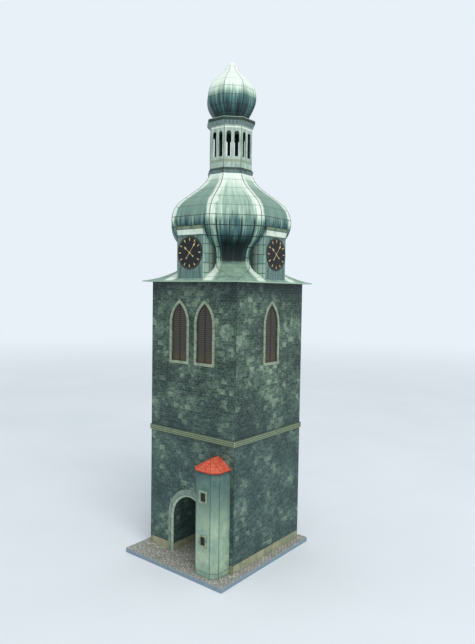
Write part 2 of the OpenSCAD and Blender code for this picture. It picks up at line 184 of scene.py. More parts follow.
# Every sheet is matt printed card: a fine tooth of fibres in the surface, ink that is a
# little uneven, and a shine that changes slightly with it.
card, p, taken, given = effect("printed card", [
    ("Ink", "Color"), ("Point", "Vector"), ("Unevenness", "Float"), ("Shine", "Float")],
    [("Color", "Color"), ("Roughness", "Float"), ("Height", "Float")])
fibres = p.mottle(taken.outputs["Point"], 7.0, 4.0, 0.7)
clouds = p.mottle(taken.outputs["Point"], 0.35, 2.0, 0.5)
grain = p.calc("MULTIPLY_ADD", fibres, 0.6, p.calc("MULTIPLY", clouds, 0.4))
spread = p.calc("MULTIPLY", p.calc("SUBTRACT", grain, 0.5), taken.outputs["Unevenness"])
level = p.calc("ADD", 1.0, spread)
lit = p.add("VectorMath", {0: taken.outputs["Ink"], "Scale": level}, operation="SCALE")
p.tree.links.new(lit.outputs[0], given.inputs["Color"])
dull = p.calc("MULTIPLY_ADD", fibres, 0.3, taken.outputs["Shine"])
p.tree.links.new(dull, given.inputs["Roughness"])
p.tree.links.new(fibres, given.inputs["Height"])


def finish_print(name, paint, shine=0.5, unevenness=0.5, relief=0.04):
    """A card material. paint draws its ink and gives the colour and the height of any
    printed or pressed relief; the card effect adds fibres, unevenness and shine."""
    material = bpy.data.materials.new(name)
    material.use_nodes = True
    sheet = Print(material.node_tree)
    shader = material.node_tree.nodes["Principled BSDF"]
    spot = sheet.group(where)
    colour, pressed = paint(sheet, spot.outputs)
    stock = sheet.group(card, {"Ink": colour, "Point": spot.outputs["Point"],
                               "Unevenness": unevenness, "Shine": shine})
    raised = sheet.calc("MULTIPLY_ADD", pressed, 3.0, stock.outputs["Height"])
    bump = sheet.add("Bump", {"Strength": 0.35, "Distance": relief / 1000, "Height": raised})
    sheet.tree.links.new(stock.outputs["Color"], shader.inputs["Base Color"])
    sheet.tree.links.new(stock.outputs["Roughness"], shader.inputs["Roughness"])
    sheet.tree.links.new(bump.outputs["Normal"], shader.inputs["Normal"])
    shader.inputs["Specular IOR Level"].default_value = 0.35
    return material


def cover(material, *names):
    """Gives CAD nodes their material."""
    for name in names:
        nodes[name].data.materials.clear()
        nodes[name].data.materials.append(material)


def board_edge(sheet, spot):
    """Blue-grey board in thin pressed layers."""
    layers = sheet.mottle(sheet.stretch(spot["Point"], 0.4, 0.4, 9.0), 1.0, 3.0)
    colour = sheet.shades(layers, [(0.3, ink("6d808f")), (0.7, ink("93a4ae"))])
    return colour, layers


cover(finish_print("grey board", board_edge, 0.6, 0.5, 0.08), "base_board")


# ---- Cobbles ----
# The paving is one printed sheet glued on the board. The little stones lie in fans: each
# row is an arc, and the arcs of one fan are stacked behind each other.

def cobbles(sheet, spot):
    """Fans 6.2 mm wide. The row is how far a point lies along y past the arc of its fan, and
    the place along the row is the distance from the fan's middle."""
    fan = 6.2
    beside = sheet.calc("SUBTRACT", sheet.calc("FLOORED_MODULO", spot["X"], fan), fan / 2)
    drop = sheet.calc("POWER", sheet.calc("ABSOLUTE", beside), 2.0)
    row = sheet.calc("MULTIPLY_ADD", drop, 0.16, spot["Y"])
    stones = sheet.add("TexBrick", {
        "Vector": sheet.place(sheet.calc("MULTIPLY", beside, 1.05), row), "Scale": 1.0,
        "Color1": grey(0.0), "Color2": grey(1.0), "Mortar": grey(0.5),
        "Mortar Size": 0.15, "Mortar Smooth": 0.3,
        "Brick Width": 1.55, "Row Height": 1.3}, offset=0.5)
    wear = sheet.mottle(spot["Point"], 0.25, 3.0)
    tone = sheet.calc("MULTIPLY_ADD", stones.outputs["Color"], 0.3,
                      sheet.calc("MULTIPLY", wear, 0.9))
    colour = sheet.shades(tone, [(0.2, ink("85837b")), (0.95, ink("cfcdbf")),
                                 (0.55, ink("a8a59a"))])
    joints = stones.outputs["Fac"]
    colour = sheet.blend(sheet.calc("MULTIPLY", joints, 0.85), colour, ink("4a4b4b"))
    under = sheet.fade(spot["Height"], -0.12, -0.06)
    return sheet.blend(under, ink("9aa7ad"), colour), sheet.calc("SUBTRACT", 1.0, joints)


cover(finish_print("cobble print", cobbles, 0.55, 0.35, 0.06), "cobble_sheet")


# ---- Stone shaft and passage ----
# The walls are plain card with printed rubble masonry: dark teal-grey stones in low
# courses, scattered paler blocks, patches of weather, and a beige plinth along the foot.

coursing, p, taken, given = effect("coursed stone", [
    ("Print", "Vector"), ("Height", "Float")], [("Color", "Color"), ("Relief", "Float")])
printed = taken.outputs["Print"]
bend = p.add("TexNoise", {"Vector": printed, "Scale": 0.3, "Detail": 1.0}).outputs["Color"]
nudge = p.add("VectorMath", {0: bend, "Scale": 0.5}, operation="SCALE").outputs[0]
laid = p.add("VectorMath", {0: printed, 1: nudge}, operation="ADD").outputs[0]
plain = {"Vector": laid, "Scale": 1.0, "Color1": grey(0.0), "Color2": grey(1.0),
         "Mortar": grey(0.5)}
blocks = p.add("TexBrick", {
    **plain, "Mortar Size": 0.1, "Mortar Smooth": 0.8, "Brick Width": 3.5, "Row Height": 2.3},
    offset=0.5, offset_frequency=2, squash=0.7, squash_frequency=3)
small = p.add("TexBrick", {
    **plain, "Mortar Size": 0.12, "Mortar Smooth": 0.6, "Brick Width": 1.9, "Row Height": 1.15},
    offset=0.4, offset_frequency=2)
weather = p.mottle(printed, 0.055, 4.0, 0.6)
level_marks = p.mottle(p.stretch(printed, 0.5, 1.7, 1.0), 1.0, 2.0)
upright_marks = p.mottle(p.stretch(printed, 2.0, 0.6, 1.0), 1.0, 2.0)
marks = p.calc("MAXIMUM", level_marks, upright_marks)
tone = p.calc("MULTIPLY", p.calc("SUBTRACT", weather, 0.5), 1.5)
tone = p.calc("MULTIPLY_ADD", blocks.outputs["Color"], 0.22, tone)
tone = p.calc("MULTIPLY_ADD", small.outputs["Color"], 0.3, tone)
tone = p.calc("MULTIPLY_ADD", marks, 1.0, tone)
tone = p.calc("SUBTRACT", tone, 0.4)
colour = p.shades(tone, [(0.08, ink("1e2c29")), (0.9, ink("8ea185")), (0.34, ink("36483f")),
                         (0.58, ink("556a5b"))])
blueish = p.fade(taken.outputs["Height"], 85.0, 30.0, 0.0, 0.3)
colour = p.blend(blueish, colour, ink("2f5259"))
paler = p.calc("MULTIPLY", p.fade(blocks.outputs["Color"], 0.74, 0.8),
               p.fade(weather, 0.49, 0.56))
paler = p.calc("MULTIPLY", paler, p.calc("SUBTRACT", 1.0, blocks.outputs["Fac"]))
colour = p.blend(p.calc("MULTIPLY", paler, 0.32), colour, ink("93a78f"))
pale_joints = p.calc("MULTIPLY", small.outputs["Fac"], p.fade(marks, 0.45, 0.65, 0.1, 0.5))
colour = p.blend(pale_joints, colour, ink("7d978a"))
dark_joints = p.calc("MULTIPLY", blocks.outputs["Fac"], p.fade(weather, 0.42, 0.56, 0.5, 0.1))
colour = p.blend(dark_joints, colour, ink("1a2a28"))
p.tree.links.new(colour, given.inputs["Color"])
relief = p.calc("SUBTRACT", marks, p.calc("MULTIPLY", blocks.outputs["Fac"], 0.5))
p.tree.links.new(relief, given.inputs["Relief"])


# Sizes of the card shaft: half its width, and the heights of its parts above the cobbles.
half_shaft = 25.0
shaft_top = 123.2
band_foot = 54.4
stone_height = 3.7


def stone(sheet, spot):
    """Coursed stone with painted shade under the eaves, darker also towards the string course,
    over a plinth of beige blocks, with a thin worn line down the corners of the card."""
    wall = sheet.group(coursing, {"Print": spot["Print"], "Height": spot["Height"]})
    # Painted shade under the eaves; the stone is also darkened towards the string course.
    shadow = sheet.fade(spot["Height"], shaft_top - 11.2, shaft_top - 0.2, 0.0, 0.5)
    up = sheet.calc("SUBTRACT", spot["Height"], band_foot)
    foot = sheet.calc("MULTIPLY", sheet.fade(up, 11.6, 2.6, 0.0, 0.4),
                      sheet.fade(up, -4.4, 1.6))
    eaves_shade_and_band_darkening = sheet.calc("MAXIMUM", shadow, foot)
    colour = sheet.blend(eaves_shade_and_band_darkening, wall.outputs["Color"], ink("1c2f33"))
    plinth = sheet.add("TexBrick", {
        "Vector": spot["Print"], "Scale": 1.0, "Color1": ink("8b9479"),
        "Color2": ink("b2ac8c"), "Mortar": ink("4c5344"), "Mortar Size": 0.1,
        "Mortar Smooth": 0.5, "Brick Width": 5.9, "Row Height": stone_height}, offset=0.0)
    stained = sheet.blend(sheet.fade(sheet.mottle(spot["Point"], 0.5), 0.35, 0.75, 0.0, 0.6),
                          plinth.outputs["Color"], ink("6f7d68"))
    low = sheet.fade(spot["Height"], stone_height - 0.08, stone_height + 0.04, 1.0, 0.0)
    colour = sheet.blend(low, colour, stained)
    top_joint = sheet.line(spot["Height"], 0.3, stone_height + 0.05)
    colour = sheet.blend(top_joint, colour, ink("2c3a36"))
    edge = sheet.line(spot["Corner"], 0.4, half_shaft - 0.1)
    colour = sheet.blend(sheet.calc("MULTIPLY", edge, 0.4), colour, ink("20302c"))
    return colour, wall.outputs["Relief"]


cover(finish_print("stone print", stone, 0.45, 0.6, 0.05),
      "front_pier_left", "front_pier_right", "front_arch_wall",
      "back_pier_left", "back_pier_right", "back_arch_wall",
      "lower_wall_left", "lower_wall_right",
      "passage_side_left", "passage_side_right", "passage_vault",
      "upper_wall_front", "upper_wall_right", "upper_wall_back", "upper_wall_left")


# ---- Arch surrounds ----
# Flat card rings glued round the two arches. The print shows cut stones in two tones that
# turn with the arch, and a dark line at each joint.

springing = 16.8
moulding_edge = 11.35


def arch_stones(sheet, spot):
    """Stones 3.7 mm high up to the springing, then one for every 15 degrees of the arch,
    in a lighter inner moulding and a darker outer one."""
    rise = sheet.calc("SUBTRACT", spot["Height"], springing)
    turn = sheet.calc("ARCTAN2", rise, sheet.calc("ABSOLUTE", spot["X"]))
    turned = sheet.calc("MULTIPLY_ADD", turn, 12 / math.pi, springing / stone_height)
    straight = sheet.calc("DIVIDE", spot["Height"], stone_height)
    above = sheet.calc("GREATER_THAN", rise, 0.0)
    count = sheet.mix(above, straight, turned)
    odd = sheet.fade(sheet.calc("PINGPONG", count, 1.0), 0.47, 0.53)
    near = sheet.calc("SUBTRACT", sheet.calc("FRACT", count), 0.5)
    joint = sheet.fade(sheet.calc("ABSOLUTE", near), 0.45, 0.49)
    beside = sheet.calc("ABSOLUTE", spot["X"])
    out = sheet.mix(above, beside, sheet.far(beside, rise))
    cloud = sheet.mottle(spot["Point"], 0.6, 4.0)
    inner = sheet.shades(cloud, [(0.3, ink("83998a")), (0.7, ink("b0bfa8"))])
    outer = sheet.shades(cloud, [(0.3, ink("5f756a")), (0.7, ink("8a9d8e"))])
    colour = sheet.blend(sheet.fade(out, moulding_edge - 0.15, moulding_edge + 0.15), inner, outer)
    step = sheet.line(out, 0.3, moulding_edge)
    colour = sheet.blend(sheet.calc("MULTIPLY", odd, 0.15), colour, ink("c0c7a8"))
    lines = sheet.calc("MAXIMUM", sheet.calc("MULTIPLY", joint, 0.45),
                       sheet.calc("MULTIPLY", step, 0.6))
    return sheet.blend(lines, colour, ink("34443f")), step


cover(finish_print("arch stone print", arch_stones, 0.45, 0.6, 0.05),
      "arch_surround_front", "arch_surround_back")


# ---- String course ----
# A narrow moulded band round the shaft, printed olive-green with fine level lines. The
# white core of the card shows where it is scored at the corners.

def moulding(sheet, spot):
    """Level lines over olive ink, and a pale nick at each corner."""
    steps = sheet.calc("SUBTRACT", spot["Height"], band_foot)
    wave = sheet.calc("SINE", sheet.calc("MULTIPLY", steps, 7.6))
    colour = sheet.shades(sheet.fade(wave, -1.0, 1.0), [
        (0.0, ink("4d5c4a")), (1.0, ink("8c9676")), (0.5, ink("6e7d61"))])
    cloud = sheet.fade(sheet.mottle(spot["Point"], 0.6), 0.3, 0.7, 0.0, 0.4)
    colour = sheet.blend(cloud, colour, ink("53634f"))
    nick = sheet.line(spot["Corner"], 0.3, half_shaft + 0.5)
    return sheet.blend(nick, colour, ink("aab5a2")), wave


cover(finish_print("moulding print", moulding, 0.45, 0.5, 0.04), "string_course")


# ---- Bell windows ----
# Each pointed window has a thin light surround glued on the wall, and a sheet behind the
# opening that is printed with dark brown louvres and a middle bar.

def window_stone(sheet, spot):
    """Pale stone with a joint every 3.5 mm."""
    cloud = sheet.mottle(spot["Point"], 0.7, 4.0)
    colour = sheet.shades(cloud, [(0.28, ink("6c7d6b")), (0.72, ink("a3ae90"))])
    row = sheet.calc("FRACT", sheet.calc("DIVIDE", spot["Height"], 3.5))
    joint = sheet.line(row, 0.07, 0.5)
    return sheet.blend(sheet.calc("MULTIPLY", joint, 0.45), colour, ink("4b5947")), joint


window_shift = 7.5
window_sill = 88.0
louvre_step = 0.9


def louvres(sheet, spot):
    """Boards every 0.9 mm, each lighter at its lower edge, with a middle bar and a stain
    that gets browner near the sill."""
    on_front = sheet.calc("GREATER_THAN", sheet.calc("ABSOLUTE", spot["Y"]), half_shaft - 1.0)
    middle_x = sheet.calc("SUBTRACT", sheet.calc("ABSOLUTE", spot["X"]), window_shift)
    beside = sheet.mix(on_front, spot["Y"], middle_x)
    board = sheet.calc("FRACT", sheet.calc("DIVIDE", spot["Height"], louvre_step))
    colour = sheet.shades(board, [(0.0, ink("5d564b")), (1.0, ink("2a2724")),
                                  (0.35, ink("453f39"))])
    sill = sheet.fade(spot["Height"], window_sill + 6.0, window_sill, 0.0, 0.55)
    colour = sheet.blend(sill, colour, ink("5e5138"))
    cloud = sheet.fade(sheet.mottle(spot["Point"], 0.5), 0.35, 0.7, 0.0, 0.35)
    colour = sheet.blend(cloud, colour, ink("39393a"))
    bar = sheet.line(beside, 0.8)
    frame_line = sheet.fade(sheet.calc("ABSOLUTE", beside), 4.1, 4.45)
    dark = sheet.calc("MAXIMUM", bar, frame_line)
    return sheet.blend(sheet.calc("MULTIPLY", dark, 0.8), colour, ink("201c19")), board


cover(finish_print("window stone print", window_stone, 0.45, 0.5, 0.05), "window_surrounds",
      "turret_window_surrounds")
cover(finish_print("louvre print", louvres, 0.5, 0.4, 0.06), "louvre_panels")


# ---- Stair turret ----
# A folded card case in pale grey-green plaster, in a darker, bluer tone higher up, with
# painted shade just under its roof. Dark scored lines run down the folds, and a dirty line along
# the foot.

# The turret's middle along x, its front folds either side of that, its side folds along y,
# and the height of its walls.
turret_middle = 16.4
front_folds = 3.85
side_fold = 31.75
turret_top = 44.4


def plaster(sheet, spot):
    """Cloudy plaster over two tones of height, with painted shade under the roof, and the folds
    and the foot drawn on it.
    """
    cloud = sheet.mottle(spot["Point"], 0.22, 4.0, 0.65)
    light = sheet.shades(cloud, [(0.3, ink("78988a")), (0.7, ink("b0c2a4"))])
    upper = sheet.shades(cloud, [(0.3, ink("3f5f5b")), (0.7, ink("6d867a"))])
    wave = sheet.calc("MULTIPLY_ADD", cloud, 16.0, spot["Height"])
    colour = sheet.blend(sheet.fade(wave, 26.0, 46.0), light, upper)
    # Painted shade just under the turret roof.
    top = sheet.fade(spot["Height"], turret_top - 2.4, turret_top, 0.0, 0.7)
    colour = sheet.blend(top, colour, ink("27423f"))
    from_middle = sheet.calc("ABSOLUTE", sheet.calc("SUBTRACT", spot["X"], turret_middle))
    front = sheet.line(from_middle, 0.32, front_folds)
    sides = sheet.line(spot["Y"], 0.32, -side_fold)
    folds = sheet.calc("MAXIMUM", front, sides)
    colour = sheet.blend(sheet.calc("MULTIPLY", folds, 0.7), colour, ink("37504a"))
    foot = sheet.calc("MAXIMUM", sheet.fade(spot["Height"], 0.7, 0.0, 0.0, 0.8),
                      sheet.line(spot["Height"], 0.3, 2.2))
    return sheet.blend(sheet.calc("MULTIPLY", foot, 0.7), colour, ink("55624a")), folds


def roof_tiles(sheet, spot):
    """Red tiles in rows 0.95 mm high, each a slightly different red."""
    tiles = sheet.add("TexBrick", {
        "Vector": spot["Print"], "Scale": 1.0, "Color1": ink("c64a30"),
        "Color2": ink("e2684a"), "Mortar": ink("a33a26"), "Mortar Size": 0.09,
        "Mortar Smooth": 0.8, "Brick Width": 0.9, "Row Height": 0.95}, offset=0.5)
    stain = sheet.fade(sheet.mottle(spot["Point"], 0.45), 0.35, 0.75, 0.0, 0.35)
    colour = sheet.blend(stain, tiles.outputs["Color"], ink("d98a6c"))
    edge = sheet.fade(spot["Height"], turret_top + 0.45, turret_top + 0.3)
    return sheet.blend(edge, colour, ink("9c3423")), tiles.outputs["Fac"]


def hip_card(sheet, spot):
    """Folded edge of the red card, a little darker than the tiles."""
    cloud = sheet.mottle(spot["Point"], 1.5, 3.0)
    return sheet.shades(cloud, [(0.3, ink("7e3122")), (0.7, ink("b04a33"))]), cloud


def dark_pane(sheet, spot):
    """Almost black opening with a faint glazing cross."""
    cloud = sheet.mottle(spot["Point"], 1.2, 3.0)
    colour = sheet.shades(cloud, [(0.3, ink("0f1516")), (0.7, ink("232d2e"))])
    bar = sheet.line(spot["X"], 0.3, turret_middle)
    return sheet.blend(sheet.calc("MULTIPLY", bar, 0.5), colour, ink("39443f")), bar


cover(finish_print("plaster print", plaster, 0.45, 0.4, 0.05), "turret_wall")
cover(finish_print("tile print", roof_tiles, 0.5, 0.4, 0.06), "turret_roof")
cover(finish_print("black print", dark_pane, 0.4, 0.5, 0.03), "turret_window_panels")


def strip_along(path, radius, sides=6):
    """A thin round strip along a path: each ring is path + radius * (cos a * n + sin a * b),
    where n and b are square to the path and a goes once round. Its ends are closed."""
    path = np.asarray(path, float)
    along = np.gradient(path, axis=0)
    along /= np.linalg.norm(along, axis=1, keepdims=True)
    hint = np.where(np.abs(along[:, 2:]) < 0.9, [[0.0, 0.0, 1.0]], [[1.0, 0.0, 0.0]])
    n = np.cross(along, np.broadcast_to(hint[0], along.shape))
    n /= np.linalg.norm(n, axis=1, keepdims=True)
    b = np.cross(along, n)
    a = np.arange(sides) * 2 * np.pi / sides
    rings = (path[:, None] + radius * (np.cos(a)[None, :, None] * n[:, None]
                                       + np.sin(a)[None, :, None] * b[:, None]))
    count = len(path)
    i, j = np.meshgrid(np.arange(count - 1), np.arange(sides), indexing="ij")
    k = (j + 1) % sides
    quads = np.stack([i * sides + j, i * sides + k, (i + 1) * sides + k,
                      (i + 1) * sides + j], -1).reshape(-1, 4)
    last = (count - 1) * sides
    faces = quads.tolist() + [list(range(sides))[::-1], list(range(last, last + sides))]
    return rings.reshape(-1, 3), faces


def put_together(name, parts, material):
    """One mesh of several loose parts, in millimetres above the cobbles, fixed to the card."""
    points = []
    faces = []
    start = 0
    for part_points, part_faces in parts:
        points.append(part_points)
        faces += [[start + v for v in face] for face in part_faces]
        start += len(part_points)
    metres = (np.vstack(points) + [0, 0, paving_top]) / 1000
    mesh = bpy.data.meshes.new(name)
    mesh.from_pydata(metres.tolist(), [], faces)
    mesh.update()
    mesh.materials.append(material)
    piece = bpy.data.objects.new(name, mesh)
    scene.collection.objects.link(piece)
    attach(piece, "root")
    return piece


# The roof is one folded sheet. Its folds show as slightly darker edges.
hip_print = finish_print("hip print", hip_card, 0.5, 0.4, 0.03)
crest_height = 49.2
eaves_height = 44.8
crest = [turret_middle, -half_shaft - 5.0, crest_height]
wall_end = [turret_middle, -half_shaft - 0.1, crest_height]
eaves_corners = [[9.2, -31.5], [12.3, -35.1], [20.5, -35.1], [23.6, -31.5]]
hips = [strip_along(np.linspace(crest, [*corner, eaves_height], 6), 0.11)
        for corner in eaves_corners]
hips.append(strip_along(np.linspace(crest, wall_end, 6), 0.11))
put_together("turret_roof_hips", hips, hip_print)


# ---- Dome and eaves ----
# Eight curved gores printed as old copper sheet: nearly white at the top, mint and
# grey-green with dark runs of water at the belly, almost black in the neck, and a pale
# skirt. Thin olive ribs cover the joints between the gores.

patina, p, taken, given = effect("copper patina", [
    ("Across", "Float"), ("Height", "Float"), ("Age", "Float"), ("Runs", "Float")],
    [("Color", "Color")])
runs = p.mottle(p.place(p.calc("MULTIPLY", taken.outputs["Across"], 1.35),
                        p.calc("MULTIPLY", taken.outputs["Height"], 0.09)), 1.0, 4.0, 0.7)
drops = p.mottle(p.place(p.calc("MULTIPLY", taken.outputs["Across"], 0.4),
                         p.calc("MULTIPLY", taken.outputs["Height"], 0.05)), 1.0, 2.0, 0.5)
uneven = p.calc("ADD", p.calc("SUBTRACT", runs, 0.5),
                p.calc("MULTIPLY", p.calc("SUBTRACT", drops, 0.5), 0.6))
aged = p.calc("MULTIPLY_ADD", uneven, taken.outputs["Runs"], taken.outputs["Age"])
p.tree.links.new(p.shades(aged, [
    (0.0, ink("e6efe2")), (1.0, ink("0a1615")), (0.13, ink("cfdfcd")),
    (0.28, ink("9fb9a6")), (0.44, ink("728f80")), (0.6, ink("426a69")),
    (0.8, ink("1d3a3e"))]), given.inputs["Color"])


half_side = math.pi / 8


def octant(sheet, spot):
    """The turn round the axis, the distance from the axis to the nearest of eight sides,
    radius * cos angle, and to the nearest rib, that distance * tan 22.5 - radius * sin angle,
    where the angle is measured from the middle of the side."""
    turn = sheet.calc("ARCTAN2", spot["Y"], spot["X"])
    angle = sheet.calc("PINGPONG", turn, half_side)
    radius = sheet.far(spot["X"], spot["Y"])
    reach = sheet.calc("MULTIPLY", radius, sheet.calc("COSINE", angle))
    beside = sheet.calc("MULTIPLY", radius, sheet.calc("SINE", angle))
    half = sheet.calc("MULTIPLY", reach, math.tan(half_side))
    return turn, reach, sheet.calc("SUBTRACT", half, beside)


def seams(sheet, value, step, width):
    """1 on level or upright lines that are one step apart."""
    phase = sheet.calc("FRACT", sheet.calc("DIVIDE", value, step))
    return sheet.line(phase, width / step, 0.5)


# The skirt of the dome: its height above the shaft, how far its corners and the neck lie
# from the axis along a diagonal, and half the width of a corner facet at the neck. The
# ages of the copper are given at parts of aged_height.
skirt_height = 9.3
skirt_corner = 40.2
skirt_neck = 17.7
facet_half = 7.3
aged_height = 50.0


def dome_copper(sheet, spot):
    """Age by height above the shaft, greyer and flatter over the four sides, with white
    strips along their ribs; level seams, upright seams in the lower half, the skirt, and a
    painted shade along the eaves."""
    up = sheet.calc("SUBTRACT", spot["Height"], shaft_top)
    turn, _, rib = octant(sheet, spot)
    side = sheet.fade(sheet.calc("PINGPONG", turn, 2 * half_side), 0.385, 0.4, 1.0, 0.0)
    corner_age = sheet.shades(sheet.calc("DIVIDE", up, aged_height), [
        (0.0, grey(0.0)), (1.0, grey(0.0)), (0.15, grey(0.04)), (0.2, grey(0.6)),
        (0.28, grey(0.6)), (0.42, grey(0.52)), (0.52, grey(0.52)), (0.58, grey(0.36)),
        (0.72, grey(0.28)), (0.88, grey(0.16))])
    side_age = sheet.shades(sheet.calc("DIVIDE", up, aged_height), [
        (0.0, grey(0.04)), (1.0, grey(0.0)), (0.12, grey(0.04)), (0.2, grey(0.8)),
        (0.42, grey(0.8)), (0.5, grey(0.66)), (0.57, grey(0.46)), (0.84, grey(0.4)),
        (0.92, grey(0.26))])
    ragged = sheet.calc("MULTIPLY_ADD", sheet.mottle(spot["Point"], 0.35, 3.0), 3.0, rib)
    strips = sheet.calc("MULTIPLY", sheet.fade(ragged, 4.2, 2.8),
                        sheet.fade(up, 24.0, 29.0, 0.3, 0.95))
    neck_middle = sheet.calc("MULTIPLY", sheet.fade(rib, 1.2, 4.0, 0.0, 0.4),
                             sheet.fade(up, 24.0, 16.0))
    mixed = sheet.calc("ADD", sheet.mix(side, corner_age, side_age), neck_middle)
    age = sheet.mix(strips, mixed, 0.04)
    calm = sheet.calc("MULTIPLY", side, sheet.fade(up, 26.0, 31.0, 0.0, 0.72))
    foot = sheet.fade(up, 8.6, 9.8, 0.2, 0.95)
    swing = sheet.calc("MULTIPLY", sheet.calc("SUBTRACT", 1.0, calm), foot)
    swing = sheet.calc("MULTIPLY", swing, sheet.fade(up, 22.0, 38.0, 1.3, 0.5))
    around = sheet.calc("MULTIPLY", turn, 22.0)
    copper = sheet.group(patina, {"Across": around, "Height": up, "Age": age,
                                  "Runs": swing})
    level = seams(sheet, up, 4.4, 0.34)
    upright = seams(sheet, sheet.calc("MULTIPLY", turn, 18.0), 3.534, 0.42)
    lower = sheet.calc("MULTIPLY", sheet.fade(up, 30.0, 25.0), sheet.fade(up, 9.0, 9.8))
    grid = sheet.calc("MAXIMUM", sheet.calc("MULTIPLY", upright, lower), level)
    strength = sheet.fade(up, 34.0, 25.0, 0.35, 0.95)
    skirt = sheet.fade(up, skirt_height + 0.1, skirt_height - 0.1)
    strength = sheet.calc("MULTIPLY", strength, sheet.fade(skirt, 0.0, 1.0, 1.0, 0.35))
    colour = sheet.blend(sheet.calc("MULTIPLY", grid, strength), copper.outputs[0],
                         ink("10231f"))
    cloud = sheet.fade(sheet.mottle(spot["Point"], 0.3, 4.0), 0.4, 0.7, 0.0, 0.35)
    colour = sheet.blend(sheet.calc("MULTIPLY", skirt, cloud), colour, ink("c3d6c0"))
    along = sheet.calc("MULTIPLY", sheet.calc("ADD", spot["Reach"], spot["Corner"]),
                       math.sqrt(0.5))
    beside = sheet.calc("MULTIPLY", sheet.calc("SUBTRACT", spot["Reach"], spot["Corner"]),
                        math.sqrt(0.5))
    inward = sheet.fade(along, skirt_corner, skirt_neck)
    half = sheet.calc("MULTIPLY", sheet.calc("POWER", inward, 1.2), facet_half)
    from_joint = sheet.calc("SUBTRACT", beside, half)
    facet = sheet.calc("MULTIPLY", skirt, sheet.fade(from_joint, 0.2, -0.4, 0.0, 0.3))
    colour = sheet.blend(facet, colour, ink("93ad90"))
    joint = sheet.calc("MULTIPLY", skirt, sheet.line(from_joint, 0.4))
    colour = sheet.blend(sheet.calc("MULTIPLY", joint, 0.6), colour, ink("4f5a3e"))
    # Painted shade at the foot of the skirt, along the eaves.
    eaves = sheet.fade(up, 0.8, 0.5, 0.0, 0.5)
    return sheet.blend(eaves, colour, ink("4c6a5c")), grid


copper_dome = finish_print("dome copper print", dome_copper, 0.34, 0.25, 0.03)
cover(copper_dome, "gore_front", "gore_front_right", "gore_right", "gore_back_right",
      "gore_back", "gore_back_left", "gore_left", "gore_front_left")


eaves_reach = 28.35


def eaves_underside(sheet, spot):
    """Grey-green plate painted dark as the shade under the eaves, with a pale cut edge."""
    cloud = sheet.mottle(spot["Point"], 0.4, 4.0)
    # The dark tones are painted shade under the eaves.
    colour = sheet.shades(cloud, [(0.3, ink("2c403b")), (0.7, ink("4c6158"))])
    rim = sheet.fade(spot["Reach"], eaves_reach - 0.15, eaves_reach)
    return sheet.blend(rim, colour, ink("a3bba6")), cloud


cover(finish_print("eaves shade print", eaves_underside, 0.45, 0.5, 0.05), "eaves_plate")


# Section of the dome, in millimetres of radius and of height above the cobbles: the
# centres and radii of the bulging belly, the hollow neck under it and the hollow crown.
dome_top = 172.5
top_radius = 9.8
top_lean = math.radians(20)
belly_curve = 11.8
neck_curve = 7.0
crown_curve = 15.4
belly = np.array([15.1, 150.2])
neck = np.array([24.6, 133.976])
crown = np.array([top_radius + crown_curve * math.cos(top_lean),
                  dome_top + crown_curve * math.sin(top_lean)])


def half_chord(curve, centre, height):
    """Half the width of a circle at a height: the root of curve^2 - (centre - height)^2."""
    return np.sqrt(np.maximum(curve ** 2 - (centre[1] - height) ** 2, 0))


def dome_radius(height):
    """Radius of the gores above the skirt. In the neck it is the neck's centre less the
    half-chord of its circle; at the belly the belly's centre plus its half-chord; at the
    top the crown's centre less its half-chord; and a straight line touches belly and
    crown."""
    to_crown = crown - belly
    lean = (math.atan2(to_crown[1], to_crown[0])
            - math.acos((belly_curve + crown_curve) / np.linalg.norm(to_crown)))
    direction = np.array([math.cos(lean), math.sin(lean)])
    start = belly + belly_curve * direction
    end = crown - crown_curve * direction
    turn_in = belly + belly_curve * (neck - belly) / np.linalg.norm(neck - belly)
    straight = start[0] + (end[0] - start[0]) * (height - start[1]) / (end[1] - start[1])
    return np.select(
        [height < turn_in[1], height < start[1], height < end[1]],
        [neck[0] - half_chord(neck_curve, neck, height),
         belly[0] + half_chord(belly_curve, belly, height), straight],
        crown[0] - half_chord(crown_curve, crown, height))


def rib_olive(sheet, spot):
    """Olive-brown strip, dark green low on the dome and paler at the top."""
    cloud = sheet.mottle(spot["Point"], 0.9, 3.0)
    high = sheet.shades(cloud, [(0.3, ink("4a4932")), (0.7, ink("75734f"))])
    low = sheet.fade(spot["Height"], 152.0, 146.0)
    return sheet.blend(low, high, ink("1d352d")), cloud


rib_print = finish_print("rib print", rib_olive, 0.4, 0.4, 0.03)
heights = np.linspace(133.0, dome_top - 0.3, 60)
radii = dome_radius(heights) / math.cos(half_side) - 0.06
ribs = []
for i in range(8):
    turn = half_side * (1 + 2 * i)
    path = np.stack([radii * math.cos(turn), radii * math.sin(turn), heights], 1)
    ribs.append(strip_along(path, 0.17))
put_together("dome_ribs", ribs, rib_print)


# ---- Clock dormers ----
# Card boxes that carry the dials. Their faces are slate-teal with faint upright runs, and
# their cheeks pale green sheets with a dark grid, with painted shade deepening towards the
# dome. Both carry painted shade under the hood.

# The dormer faces' distance from the axis and height above the shaft, the foot of the
# hoods, and the height of the line between their bands.
dormer_face = 26.5
dormer_height = 20.4
hood_foot = 143.6
hood_line = 2.35


